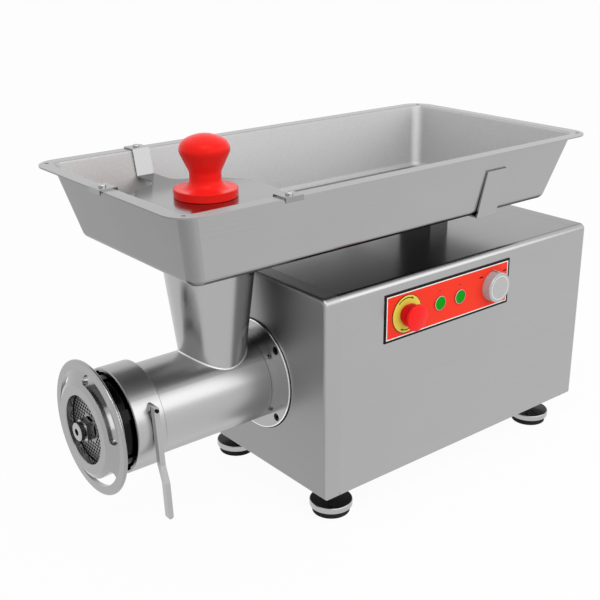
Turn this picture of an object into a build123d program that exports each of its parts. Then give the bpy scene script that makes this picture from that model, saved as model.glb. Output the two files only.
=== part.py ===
from build123d import *
from math import acos, cos, pi, radians, sin, sqrt, tan
import os

# Electric meat grinder with a stainless casing, a screw-fed mincing head and a meat tray.
# Millimetres, +Z up, origin on the floor under the middle of the whole length.
# The mincing head points to -X, the motor end to +X, the control side to -Y.

# Clearances
running_gap = 0.05
free_gap = 0.3
slip_gap = 0.1

# Edge breaks, as shares of the wall, height or radius that they sit on
fine_break = 1 / 12
edge_break = 1 / 8
soft_break = 1 / 3
end_round = 0.4
full_round = 0.45

# Casing
casing_length = 573.0
casing_width = 324.0
casing_height = 309.0
casing_sheet = 1.5
top_edge_radius = 10.0
front_edge_radius = 5.0
rear_edge_radius = 8.0
front_pan_depth = 28.0
rear_pan_depth = 32.0
bottom_flange = 18.0
base_thickness = 3.0
vent_rows = 7
vent_length = 90.0
vent_height = 4.0
vent_pitch = 14.0
vent_spread = 60.0
vent_rise = 190.0
casing_screw_radius = 2.0
casing_screw_head = 4.2
casing_screw_head_height = 2.2
casing_screw_length = 9.0
casing_screws_per_side = 4

# Levelling feet
foot_height = 50.0
foot_front_inset = 46.0
foot_rear_inset = 63.0
foot_spacing = 244.0
pad_radius = 28.6
pad_height = 10.0
pad_plug_radius = 23.0
pad_plug_height = 3.0
cup_radius = 32.8
cup_rim_height = 10.0
cup_edge_radius = 2.0
cup_cone_height = 1.5
cup_neck_radius = 7.0
stud_radius = 5.0
stud_overrun = 6.0
nut_across_flats = 17.0
nut_height = 8.0

# Mincing head
head_height = 148.0
flange_radius = 85.6
flange_thickness = 12.0
flange_proud = 3.0
flange_opening_gap = 1.6
flange_bore = 36.0
flange_screw_circle = 76.0
flange_screw_radius = 4.0
flange_screw_head = 6.0
flange_screw_head_height = 6.0
flange_screw_sink = 1.0
flange_screw_length = 22.0
flange_screw_socket = 3.0
barrel_radius = 66.0
barrel_bore = 58.0
barrel_rear_wall = 10.0
nose_radius = 62.0
neck_distance = 76.0
neck_top_radius = 68.6
neck_taper = 0.122
neck_wall = 3.0
collar_radius = 75.0
collar_bore = 71.5
collar_set_back = 42.2
collar_length = 44.0
collar_web = 8.0
bayonet_count = 3
bayonet_span = 44.0
bayonet_length = 6.0
bayonet_set_back = 2.5

# Clamping wheel with three finger slots
wheel_reach = 288.7
wheel_opening = 48.0
wheel_lip = 11.3
wheel_face_radius = 62.0
wheel_rim_radius = 95.0
wheel_rim_band = 13.0
wheel_dish = 9.5
wheel_rim_thickness = 5.5
wheel_web = 5.5
wheel_hub_wall = 5.6
wheel_hub_gap = 0.6
wheel_shoulder = 27.0
wheel_groove_wall = 2.4
wheel_ribs = 6
wheel_rib_span = 12.0
wheel_slot_inner = 68.8
wheel_slot_outer = 81.5
wheel_slot_count = 3
wheel_slot_span = 84.0
wheel_slot_angle = 47.0
lug_length = 9.0
lug_set_back = 3.0

# Plate, knife and screw
plate_thickness = 12.0
plate_bore = 16.4
plate_hub = 17.5
plate_stand = 2.0
plate_hole_radius = 2.25
plate_hole_pitch = 6.0
key_radius = 3.0
key_depth = 2.6
knife_thickness = 14.0
knife_radius = 55.0
knife_hub_radius = 24.0
knife_blade_width = 15.0
auger_reach = 297.5
auger_flight_radius = 56.8
auger_core_radius = 21.0
auger_flight_width = 13.0
auger_turns = 3.0
pin_square = 26.0
pin_corner_radius = 16.0
pin_nose_radius = 12.8
pin_nose_length = 9.0
pin_hole_radius = 5.0
pin_hole_depth = 12.0
shank_radius = 18.0
tang_square = 22.0
tang_length = 26.0
washer_radius = 44.0
washer_thickness = 4.0

# Locking lever
lever_set_back = 26.3
lever_pivot_rise = 38.0
lever_width = 8.0
lever_thickness = 8.5
lever_lean = 5.8
lever_joggle = 9.0
lever_flare = 4.0
lever_head_rise = 5.0
lever_upper_drop = 78.0
lever_joggle_drop = 24.0
lever_blade_drop = 52.0
lever_pin_radius = 2.0
lever_pin_head = 2.7
lever_pin_head_height = 1.2
lever_pin_socket = 1.4
lever_boss_radius = 5.0
lever_stand_off = 1.0

# Meat tray
tray_front = 240.9
tray_length = 764.1
tray_width = 384.0
tray_bottom_rise = 366.6
tray_rim_rise = 471.3
tray_sheet = 2.0
rim_width = 19.0
rim_corner_radius = 37.0
rim_bend_radius = 4.0
rim_hole_radius = 3.0
wall_run = 27.0
tray_corner_radius = 18.0
tray_floor_fillet = 13.0
throat_radius = 54.5
throat_wall = 2.0
throat_length = 40.0

# Hand guard and pusher
guard_radius = 104.0
guard_rise = 435.0
guard_sheet = 2.0
guard_hole = 41.0
guard_arm_width = 28.0
guard_arm_lap = 20.8
guard_blend_radius = 24.0
guard_hook = 5.0
guard_screw_radius = 2.5
guard_screw_head = 5.0
guard_screw_head_height = 3.2
pusher_flange_radius = 44.3
pusher_flange_height = 12.0
pusher_edge_radius = 1.2
pusher_foot_radius = 35.0
pusher_flare_rise = 25.0
pusher_neck_radius = 21.9
pusher_neck_rise = 34.0
pusher_neck_blend = 14.0
pusher_head_radius = 38.4
pusher_head_rise = 68.5
pusher_head_blend = 15.0
pusher_height = 85.3
pusher_stem_radius = 38.5
pusher_stem_length = 190.0
pusher_tip_chamfer = 6.0

# Tray cradle
cradle_distance = 330.3
cradle_width = 43.0
cradle_sheet = 2.5
cradle_side_gap = 4.0
cradle_arm_rise = 71.5
post_width = 40.0
post_depth = 70.0
post_wall = 2.5
post_shift = 20.6

# Controls
plate_start = 109.7
control_plate_length = 267.3
control_plate_height = 73.6
control_plate_thickness = 1.2
control_plate_rise = 253.5
estop_distance = 152.9
estop_legend_radius = 29.1
estop_legend_thickness = 1.0
estop_head_radius = 20.0
estop_head_reach = 26.0
estop_head_thickness = 8.0
estop_crown = 2.7
estop_under_cone = 2.7
estop_edge_radius = 1.6
estop_skirt_radius = 17.5
estop_skirt_wall = 2.0
estop_skirt_gap = 1.0
estop_bezel_radius = 14.0
estop_bezel_height = 7.0
estop_stem_radius = 6.0
estop_travel = 5.0
device_barrel_radius = 11.0
device_block_width = 30.0
device_block_depth = 42.0
device_nut_radius = 15.0
device_nut_thickness = 4.0
button_distance_one = 221.0
button_distance_two = 264.1
button_radius = 9.9
button_proud = 2.2
button_travel = 3.0
button_stem_radius = 5.0
button_stem_length = 12.0
bezel_width = 0.8
bezel_height = 2.6
selector_distance = 339.4
selector_radius = 23.7
selector_depth = 15.0
selector_shaft_radius = 4.0
selector_shaft_length = 14.0
selector_pointer_width = 2.5
selector_pointer_rise = 1.5
selector_pointer_back = 5.0

# Gear train between the motor and the screw
gear_module_output = 2.25
gear_teeth_output = 54
gear_teeth_lay_pinion = 18
gear_width_output = 24.0
gear_module_motor = 1.5
gear_teeth_lay = 81
gear_teeth_motor = 27
gear_width_motor = 16.0
gear_backlash = 0.25
gear_side_gap = 4.0
gear_root_depth = 1.25
pressure_angle = 20.0
output_shaft_radius = 25.0
output_head_radius = 30.0
lay_shaft_radius = 12.0
rotor_shaft_radius = 10.0
gearbox_front_wall = 14.0
gearbox_boss_length = 40.0
gearbox_wall = 6.0
gearbox_tip_gap = 4.0
gearbox_cover_thickness = 14.0
bearing_ring = 13.0
bearing_width = 12.0
gearbox_screw_radius = 3.0
gearbox_screw_head = 5.0
gearbox_screw_head_height = 5.0
gearbox_screw_length = 24.0

# Motor
motor_radius = 78.0
motor_shell_wall = 7.0
motor_length = 220.0
motor_fins = 20
motor_fin_height = 5.0
motor_fin_width = 3.0
core_length = 130.0
rotor_radius = 46.0
air_gap = 0.7
winding_overhang = 26.0
winding_margin = 4.0
end_bell_thickness = 14.0
fan_hub_radius = 20.0
fan_radius = 62.0
fan_width = 18.0
fan_blades = 8
fan_blade_thickness = 3.0
fan_offset = 6.0
stand_length = 44.0
stand_width = 120.0
stand_wall = 5.0

# Electrical pieces
contactor_length = 50.0
contactor_width = 78.0
contactor_height = 88.0
contactor_slot_depth = 17.6
contactor_poles = 3
contactor_rear_gap = 80.0
contactor_offset = 90.0
capacitor_radius = 25.0
capacitor_height = 110.0
capacitor_rear_gap = 105.0
capacitor_offset = -90.0
gland_reach = 24.0
gland_radius = 13.0
gland_nut_radius = 15.0
gland_bore = 4.5
gland_inner_length = 14.0
gland_offset = 60.0
gland_rise = 45.0

# Places that follow from the sizes above
front_x = (auger_reach - casing_length - gland_reach) / 2
rear_x = front_x + casing_length
half_width = casing_width / 2
casing_top = foot_height + casing_height
base_top = foot_height + casing_sheet + base_thickness
axis_z = foot_height + head_height
barrel_rear_x = front_x - flange_proud
gearbox_x = barrel_rear_x + flange_thickness
wheel_front_x = front_x - wheel_reach
collar_front_x = wheel_front_x + collar_set_back
collar_rear_x = collar_front_x + collar_length
web_front_x = collar_rear_x - collar_web
plate_front_x = wheel_front_x + wheel_lip + free_gap
plate_rear_x = plate_front_x + plate_thickness
nose_front_x = plate_front_x + plate_stand
knife_rear_x = plate_rear_x + free_gap + knife_thickness
bore_rear_x = barrel_rear_x - barrel_rear_wall
auger_rear_x = bore_rear_x - washer_thickness - free_gap
auger_front_x = front_x - auger_reach
neck_x = front_x - neck_distance
tray_bottom = foot_height + tray_bottom_rise
tray_rim_top = foot_height + tray_rim_rise
tray_front_x = front_x - tray_front
tray_mid_x = tray_front_x + tray_length / 2
tray_wall_top = tray_rim_top - tray_sheet
wall_lean = wall_run / (tray_rim_top - tray_bottom)
tray_floor_length = tray_length - 2 * (rim_width + wall_run)
tray_floor_width = tray_width - 2 * (rim_width + wall_run)
guard_top = foot_height + guard_rise
pusher_x = neck_x
cradle_x = front_x + cradle_distance
cradle_floor = tray_bottom
cradle_half_span = tray_floor_width / 2 + cradle_side_gap
control_z = foot_height + control_plate_rise
panel_face = -half_width - control_plate_thickness
panel_back = -half_width + casing_sheet
block_front = panel_back + device_nut_thickness
output_pitch_radius = gear_module_output * gear_teeth_output / 2
lay_pinion_pitch_radius = gear_module_output * gear_teeth_lay_pinion / 2
lay_pitch_radius = gear_module_motor * gear_teeth_lay / 2
gear_centres = output_pitch_radius + lay_pinion_pitch_radius
lay_z = axis_z + gear_centres
output_gear_x = gearbox_x + gearbox_boss_length + gear_side_gap
motor_gear_x = output_gear_x + gear_width_output + gear_side_gap
cover_x = motor_gear_x + gear_width_motor + gear_side_gap
motor_x = cover_x + gearbox_cover_thickness
motor_end_x = motor_x + motor_length
core_x = motor_x + (motor_length - core_length) / 2
fan_x = motor_end_x + end_bell_thickness + fan_offset
foot_places = {
    "front_near": (front_x + foot_front_inset, -foot_spacing / 2),
    "front_far": (front_x + foot_front_inset, foot_spacing / 2),
    "rear_near": (rear_x - foot_rear_inset, -foot_spacing / 2),
    "rear_far": (rear_x - foot_rear_inset, foot_spacing / 2),
}

LOW = (Align.CENTER, Align.CENTER, Align.MIN)


def box_between(x0, x1, y0, y1, z0, z1):
    block = Box(x1 - x0, y1 - y0, z1 - z0, align=(Align.MIN, Align.MIN, Align.MIN))
    return Pos(x0, y0, z0) * block


def rod_x(radius, x0, x1, y, z):
    return Pos(x0, y, z) * Rot(0, 90, 0) * Cylinder(radius, x1 - x0, align=LOW)


def rod_y(radius, y0, y1, x, z):
    return Pos(x, y0, z) * Rot(-90, 0, 0) * Cylinder(radius, y1 - y0, align=LOW)


def rod_z(radius, z0, z1, x, y):
    return Pos(x, y, z0) * Cylinder(radius, z1 - z0, align=LOW)


def turned_x(points, z):
    """Solid of revolution about a line along X; points are (x, radius)."""
    return Pos(0, 0, z) * revolve(make_face(Polyline(*points, close=True)), Axis.X)


def turned_y(outline, x, z):
    """Solid of revolution about a line along Y; the outline is drawn as (radius, y)."""
    return Pos(x, 0, z) * revolve(make_face(outline), Axis.Y)


def turned_z(outline, x, y):
    """Solid of revolution about a line along Z; the outline is drawn as (radius, z)."""
    return Pos(x, y, 0) * revolve(Plane.XZ * make_face(outline), Axis.Z)


def group(solids):
    return Compound(children=list(solids))


def circles_of(solid, radius):
    return [e for e in solid.edges().filter_by(GeomType.CIRCLE) if abs(e.radius - radius) < running_gap]


def ring_sector(inner, outer, x0, x1, middle_angle, span):
    """Block between two radii and two angles about the head axis, angles from -Y up to +Z."""
    steps = 8
    angles = [middle_angle - span / 2 + span * i / steps for i in range(steps + 1)]
    far = outer / cos(radians(span / steps))
    wedge = [(0.0, 0.0)] + [(-far * cos(radians(a)), far * sin(radians(a))) for a in angles]
    sector = extrude(Plane.YZ.offset(x0) * make_face(Polyline(*wedge, close=True)), x1 - x0)
    ring = rod_x(outer, x0, x1, 0, 0) - rod_x(inner, x0, x1, 0, 0)
    return Pos(0, 0, axis_z) * (sector & ring)


def casing_section(inset):
    """Cross-section of the casing, rounded along its two top edges and set in all round."""
    height = casing_height - 2 * inset
    block = Pos(0, foot_height + casing_height / 2) * Rectangle(casing_width - 2 * inset, height)
    return fillet(block.vertices().sort_by(Axis.Y)[-2:], top_edge_radius - inset)


def casing_length_of(inset, x0, x1):
    return extrude(Plane.YZ.offset(x0) * casing_section(inset), x1 - x0)


def casing_screw_places():
    places = []
    first = front_x + front_pan_depth / 2
    last = rear_x - rear_pan_depth / 2
    step = (last - first) / (casing_screws_per_side + 1)
    row = half_width - casing_sheet - bottom_flange / 2
    for side in (-row, row):
        for count in range(casing_screws_per_side + 2):
            places.append((first + count * step, side))
    return places


def control_holes():
    """Place along X and radius of each hole through the control plate and the casing."""
    barrel_hole = device_barrel_radius + slip_gap
    cap_hole = button_radius + free_gap
    return [
        (front_x + estop_distance, barrel_hole),
        (front_x + button_distance_one, cap_hole),
        (front_x + button_distance_two, cap_hole),
        (front_x + selector_distance, barrel_hole),
    ]


def make_casing():
    screw_holes = [
        rod_z(casing_screw_radius, foot_height - casing_screw_head_height, base_top, x, y)
        for x, y in casing_screw_places()
    ]
    seam_front = front_x + front_pan_depth
    seam_rear = rear_x - rear_pan_depth
    shell = casing_length_of(0, seam_front, seam_rear) - casing_length_of(casing_sheet, seam_front, seam_rear)
    inner_edge = half_width - casing_sheet - bottom_flange
    shell -= box_between(seam_front, seam_rear, -inner_edge, inner_edge, foot_height, base_top)
    for x, radius in control_holes():
        shell -= rod_y(radius, -half_width, panel_back, x, control_z)
    shell -= screw_holes

    front = casing_length_of(0, front_x, seam_front)
    front = fillet(front.faces().sort_by(Axis.X)[0].edges(), front_edge_radius)
    hollow = casing_length_of(casing_sheet, front_x + casing_sheet, seam_front)
    hollow = fillet(hollow.faces().sort_by(Axis.X)[0].edges(), front_edge_radius - casing_sheet)
    front -= hollow
    front -= rod_x(flange_radius + flange_opening_gap, front_x, seam_front, 0, axis_z)
    front -= screw_holes

    rear = casing_length_of(0, seam_rear, rear_x)
    rear = fillet(rear.faces().sort_by(Axis.X)[-1].edges(), rear_edge_radius)
    hollow = casing_length_of(casing_sheet, seam_rear, rear_x - casing_sheet)
    hollow = fillet(hollow.faces().sort_by(Axis.X)[-1].edges(), rear_edge_radius - casing_sheet)
    rear -= hollow
    slots = []
    for row in range(vent_rows):
        z = foot_height + vent_rise + (row - (vent_rows - 1) / 2) * vent_pitch
        for y in (-vent_spread, vent_spread):
            slot = Box(casing_sheet, vent_length, vent_height)
            slots.append(Pos(rear_x - casing_sheet / 2, y, z) * slot)
    rear -= slots
    rear -= rod_x(gland_radius, rear_x - casing_sheet, rear_x, gland_offset, foot_height + gland_rise)
    rear -= screw_holes

    edge = half_width - casing_sheet
    base = box_between(
        front_x + front_edge_radius, rear_x - rear_edge_radius, -edge, edge,
        foot_height + casing_sheet, base_top,
    )
    for x, y in foot_places.values():
        hexagon = RegularPolygon(nut_across_flats / 2, 6, major_radius=False)
        base += extrude(Pos(x, y, base_top) * hexagon, nut_height)
        base -= rod_z(stud_radius + running_gap, foot_height, base_top + nut_height, x, y)
    base -= screw_holes

    screws = []
    for x, y in casing_screw_places():
        head = rod_z(casing_screw_head, foot_height - casing_screw_head_height, foot_height, x, y)
        head = chamfer(head.edges().group_by(Axis.Z)[0], casing_screw_head_height * soft_break)
        screws.append(head + rod_z(casing_screw_radius, foot_height, foot_height + casing_screw_length, x, y))
    return {
        "casing_shell": shell,
        "front_panel": front,
        "rear_cover": rear,
        "base_plate": base,
        "casing_screws": group(screws),
    }


def make_feet():
    pieces = {}
    cup_bottom = pad_height
    rim_top = cup_bottom + cup_rim_height
    cone_top = rim_top + cup_cone_height
    stud_top = base_top + nut_height + stud_overrun
    for name, (x, y) in foot_places.items():
        pad = rod_z(pad_radius, 0, pad_height, x, y)
        pad = fillet(pad.edges().group_by(Axis.Z)[0], pad_height * edge_break)
        pad += rod_z(pad_plug_radius, pad_height, pad_height + pad_plug_height, x, y)
        cup = rod_z(cup_radius, cup_bottom, rim_top, x, y)
        cup = fillet(cup.edges().filter_by(GeomType.CIRCLE), cup_edge_radius)
        cone = Cone(cup_radius - cup_edge_radius, cup_neck_radius, cup_cone_height, align=LOW)
        cup += Pos(x, y, rim_top) * cone
        cup += rod_z(stud_radius, cone_top, stud_top, x, y)
        cup -= rod_z(pad_plug_radius, cup_bottom, cup_bottom + pad_plug_height, x, y)
        pieces["foot_" + name] = cup
        pieces["foot_pad_" + name] = pad
    return pieces


def square_bar(size, x0, x1):
    return box_between(x0, x1, -size / 2, size / 2, axis_z - size / 2, axis_z + size / 2)


def neck_radius_at(z):
    return neck_top_radius - neck_taper * (tray_bottom - z)


def neck_cone(inset):
    low = axis_z
    cone = Cone(neck_radius_at(low) - inset, neck_top_radius - inset, tray_bottom - low, align=LOW)
    return Pos(neck_x, 0, low) * cone


def lever_back_at(z):
    """Back of the lever's upper run, which leans out from its pivot and passes clear of the collar."""
    lean = radians(lever_lean)
    return (z - axis_z) * tan(lean) - (collar_radius + lever_stand_off) / cos(lean)


def make_head():
    flange_front = barrel_rear_x
    flange = rod_x(flange_radius, flange_front, gearbox_x, 0, axis_z)
    flange = chamfer(flange.edges().group_by(Axis.X)[0], flange_proud * edge_break)
    flange -= rod_x(flange_bore, flange_front, gearbox_x, 0, axis_z)
    screws = []
    for quarter in range(4):
        angle = radians(45 + 90 * quarter)
        y = flange_screw_circle * cos(angle)
        z = axis_z + flange_screw_circle * sin(angle)
        head_front = flange_front + flange_screw_sink
        head_back = head_front + flange_screw_head_height
        flange -= rod_x(flange_screw_head + slip_gap, flange_front, head_back, y, z)
        flange -= rod_x(flange_screw_radius, head_back, gearbox_x, y, z)
        screw = rod_x(flange_screw_head, head_front, head_back, y, z)
        screw -= extrude(
            Plane.YZ.offset(head_front) * (Pos(y, z) * RegularPolygon(flange_screw_socket, 6)),
            flange_screw_head_height / 2,
        )
        screw += rod_x(flange_screw_radius, head_back, head_front + flange_screw_length, y, z)
        screws.append(screw)

    shank_bore = shank_radius + running_gap
    barrel = turned_x(
        [
            (nose_front_x, barrel_bore), (nose_front_x, nose_radius), (web_front_x, nose_radius),
            (web_front_x, barrel_radius), (barrel_rear_x, barrel_radius), (barrel_rear_x, shank_bore),
            (bore_rear_x, shank_bore), (bore_rear_x, barrel_bore),
        ],
        axis_z,
    )
    neck_bore = neck_cone(neck_wall)
    barrel -= neck_bore - rod_x(barrel_bore - neck_wall, bore_rear_x, barrel_rear_x, 0, axis_z)
    key_x = (nose_front_x + plate_rear_x) / 2
    key_root = axis_z - (nose_radius + barrel_bore) / 2
    barrel += rod_z(key_radius, key_root, axis_z - barrel_bore + key_depth, key_x, 0)

    neck = neck_cone(0) - neck_bore - rod_x(barrel_radius, web_front_x, barrel_rear_x, 0, axis_z)
    neck = neck.solids().sort_by(Axis.Z)[-1]

    collar = turned_x(
        [
            (collar_rear_x, barrel_radius), (collar_rear_x, collar_radius), (collar_front_x, collar_radius),
            (collar_front_x, collar_bore), (web_front_x, collar_bore), (web_front_x, barrel_radius),
        ],
        axis_z,
    )
    collar = chamfer(circles_of(collar, collar_radius), (collar_radius - collar_bore) * soft_break)
    stop_front = collar_front_x + bayonet_set_back
    stop_inner = hub_outer() + 2 * free_gap
    for count in range(bayonet_count):
        middle = 90 + 360 * count / bayonet_count
        collar += ring_sector(
            stop_inner, collar_bore + running_gap, stop_front, stop_front + bayonet_length,
            middle, bayonet_span,
        )
    lever_x = collar_front_x + lever_set_back
    pivot_z = axis_z + lever_pivot_rise
    lean = tan(radians(lever_lean))
    lever_back = lever_back_at(pivot_z)
    lever_front = lever_back - lever_thickness
    boss_face = lever_back + lever_boss_radius * lean + free_gap
    wall_y = sqrt(collar_bore ** 2 - (lever_pivot_rise - lever_boss_radius) ** 2)
    pin_root = -sqrt(collar_radius ** 2 - lever_pivot_rise ** 2) + free_gap
    boss = rod_y(lever_boss_radius, boss_face, -wall_y + lever_boss_radius, lever_x, pivot_z)
    boss -= rod_x(collar_bore, collar_front_x, collar_rear_x, 0, axis_z)
    collar += boss
    collar -= rod_y(lever_pin_radius, boss_face, pin_root, lever_x, pivot_z)

    head_back = lever_front - lever_pin_head * lean - free_gap
    head_front = head_back - lever_pin_head_height
    pin = rod_y(lever_pin_radius, head_back, pin_root, lever_x, pivot_z)
    pin += rod_y(lever_pin_head, head_front, head_back, lever_x, pivot_z)
    pin -= rod_y(lever_pin_socket, head_front, head_front + lever_pin_head_height / 2, lever_x, pivot_z)

    head_z = pivot_z + lever_head_rise
    bend_z = pivot_z - lever_upper_drop
    blade_z = bend_z - lever_joggle_drop
    blade_back = lever_back_at(bend_z) - lever_joggle
    back = [
        (lever_back_at(head_z), head_z), (lever_back_at(bend_z), bend_z), (blade_back, blade_z),
        (blade_back - lever_flare, blade_z - lever_blade_drop),
    ]
    front = [(y - lever_thickness, z) for y, z in reversed(back)]
    side_view = make_face(Polyline(*back, *front, close=True))
    lever = extrude(Plane.YZ.offset(lever_x - lever_width / 2) * side_view, lever_width)
    ends = lever.edges().filter_by(Axis.Y).group_by(Axis.Z)
    lever = fillet(ends[0] + ends[-1], lever_width * end_round)
    pin_hole = lever_pin_radius + running_gap
    lever -= rod_y(pin_hole, lever_front - free_gap, lever_back + free_gap, lever_x, pivot_z)
    return {
        "mounting_flange": flange,
        "flange_screws": group(screws),
        "head_barrel": barrel,
        "feed_neck": neck,
        "lock_collar": collar,
        "lever_pin": pin,
        "lock_lever": lever,
    }


def hub_outer():
    return nose_radius + wheel_hub_gap + wheel_hub_wall


def make_wheel():
    hub_inner = nose_radius + wheel_hub_gap
    rim_front = wheel_front_x + wheel_dish
    rim_back = rim_front + wheel_rim_thickness
    hub_rear = web_front_x - lug_set_back
    shoulder_back = wheel_front_x + wheel_shoulder
    groove = hub_inner + wheel_groove_wall
    lip_back = wheel_front_x + wheel_lip
    band = wheel_rim_radius - wheel_rim_band
    wheel = turned_x(
        [
            (wheel_front_x, wheel_opening), (wheel_front_x, wheel_face_radius), (rim_front, band),
            (rim_front, wheel_rim_radius), (rim_back, wheel_rim_radius), (rim_back, band - wheel_web / 2),
            (lip_back, hub_outer()), (shoulder_back, hub_outer()), (shoulder_back, groove),
            (hub_rear, groove), (hub_rear, hub_inner),
            (lip_back, hub_inner), (lip_back, wheel_opening),
        ],
        axis_z,
    )
    wheel = fillet(circles_of(wheel, wheel_rim_radius), wheel_rim_thickness * full_round)
    wheel = fillet(circles_of(wheel, wheel_opening), wheel_lip * edge_break)
    slot_height = wheel_slot_outer - wheel_slot_inner
    slot_middle = (wheel_slot_outer + wheel_slot_inner) / 2
    end_angle = slot_height / 2 / slot_middle * 180 / pi
    sweep_angle = wheel_slot_span - 2 * end_angle
    slot_depth = rim_back + wheel_web - wheel_front_x
    for count in range(wheel_slot_count):
        start = 180 - wheel_slot_angle - 360 * count / wheel_slot_count - sweep_angle / 2
        slot = SlotArc(CenterArc((0, 0), slot_middle, start, sweep_angle), slot_height)
        wheel -= Pos(0, 0, axis_z) * extrude(Plane.YZ.offset(wheel_front_x) * slot, slot_depth)
    lug_front = collar_front_x + bayonet_set_back + bayonet_length + free_gap
    for count in range(bayonet_count):
        middle = 90 + 360 * count / bayonet_count
        wheel += ring_sector(
            groove - running_gap, collar_bore - 2 * free_gap, lug_front, lug_front + lug_length,
            middle, bayonet_span,
        )
    for count in range(wheel_ribs):
        wheel += ring_sector(
            groove - running_gap, hub_outer(), shoulder_back, hub_rear,
            360 * (count + 0.5) / wheel_ribs, wheel_rib_span,
        )
    return {"ring_wheel": wheel}


def plate_hole_places():
    places = []
    limit = barrel_bore - 2 * plate_hole_radius
    row_pitch = plate_hole_pitch * sqrt(3) / 2
    rows = int(barrel_bore / row_pitch)
    columns = int(barrel_bore / plate_hole_pitch) + 1
    for row in range(-rows, rows + 1):
        for column in range(-columns, columns + 1):
            y = (column + (row % 2) / 2) * plate_hole_pitch
            z = row * row_pitch
            distance = sqrt(y * y + z * z)
            if plate_hub + plate_hole_radius < distance < limit:
                places.append((y, z))
    return places


def make_cutting_set():
    disc = Circle(barrel_bore - slip_gap) - Circle(plate_bore)
    disc -= [Pos(y, z) * Circle(plate_hole_radius) for y, z in plate_hole_places()]
    disc -= Pos(0, -barrel_bore) * Rectangle(2 * (key_radius + slip_gap), 2 * (key_depth + slip_gap))
    plate = Pos(0, 0, axis_z) * extrude(Plane.YZ.offset(plate_front_x) * disc, plate_thickness)

    knife_front = plate_rear_x + free_gap
    knife = rod_x(knife_hub_radius, knife_front, knife_rear_x, 0, axis_z)
    half_blade = knife_blade_width / 2
    for quarter in range(4):
        blade = box_between(
            knife_front, knife_rear_x, knife_hub_radius / 2, knife_radius, -half_blade, half_blade
        )
        edge = blade.edges().filter_by(Axis.Y).sort_by(Axis.Z)[-2:].sort_by(Axis.X)[-1]
        blade = chamfer(edge, knife_blade_width * end_round)
        knife += Pos(0, 0, axis_z) * Rot(90 * quarter, 0, 0) * blade
    knife -= square_bar(pin_square + 2 * slip_gap, knife_front, knife_rear_x)

    flight_front = knife_rear_x + slip_gap
    flight_length = auger_rear_x - flight_front
    blade = Pos(auger_flight_radius / 2, 0) * Rectangle(auger_flight_radius, auger_flight_width)
    section = (Circle(auger_core_radius) + blade) & Circle(auger_flight_radius)
    screw = Solid.extrude_linear_with_rotation(
        section.faces()[0], Vector(0, 0, 0), Vector(0, 0, flight_length), 360 * auger_turns
    )
    auger = Pos(flight_front, 0, axis_z) * Rot(0, 90, 0) * Part(screw.wrapped)
    nose_x = auger_front_x + pin_nose_length
    pin = square_bar(pin_square, nose_x, flight_front)
    pin &= rod_x(pin_corner_radius, nose_x, flight_front, 0, axis_z)
    nose = rod_x(pin_nose_radius, auger_front_x, nose_x, 0, axis_z)
    nose = chamfer(nose.edges().group_by(Axis.X)[0], pin_nose_radius * fine_break)
    auger += pin + nose
    auger -= rod_x(pin_hole_radius, auger_front_x, auger_front_x + pin_hole_depth, 0, axis_z)
    auger += rod_x(shank_radius, auger_rear_x, barrel_rear_x, 0, axis_z)
    auger += square_bar(tang_square, barrel_rear_x, barrel_rear_x + tang_length)

    washer = rod_x(washer_radius, bore_rear_x - washer_thickness, bore_rear_x, 0, axis_z)
    washer -= rod_x(shank_radius + running_gap, bore_rear_x - washer_thickness, bore_rear_x, 0, axis_z)
    return {"perforated_plate": plate, "cross_knife": knife, "auger": auger, "thrust_washer": washer}


def tray_body(inset, z0, z1):
    """Leaning walls of the tray between two heights, set in from the outer skin."""
    sections = []
    for z in (z0, z1):
        spread = 2 * (wall_lean * (z - tray_bottom) - inset)
        length, width = tray_floor_length + spread, tray_floor_width + spread
        outline = RectangleRounded(length, width, tray_corner_radius - inset)
        sections.append(Pos(tray_mid_x, 0, z) * outline)
    return loft(sections, ruled=True)


def guard_arm(reach):
    """Strap from the guard disc out to the wall, up it and over the rim, drawn towards +Y."""
    def wall_at(z):
        return reach - rim_width - wall_lean * (tray_rim_top - z) - tray_sheet - free_gap

    low, top = guard_top - guard_sheet, tray_rim_top + guard_sheet
    hook_in = reach + free_gap
    hook_out = hook_in + guard_sheet
    start = guard_radius - guard_arm_lap
    bend = wall_at(tray_rim_top)
    points = [
        (start, low), (wall_at(low), low), (bend, tray_rim_top), (hook_in, tray_rim_top),
        (hook_in, tray_rim_top - guard_hook), (hook_out, tray_rim_top - guard_hook), (hook_out, top),
        (bend - guard_sheet, top), (wall_at(guard_top) - guard_sheet, guard_top), (start, guard_top),
    ]
    return extrude(
        Plane.YZ.offset(-guard_arm_width / 2) * make_face(Polyline(*points, close=True)), guard_arm_width
    )


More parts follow.
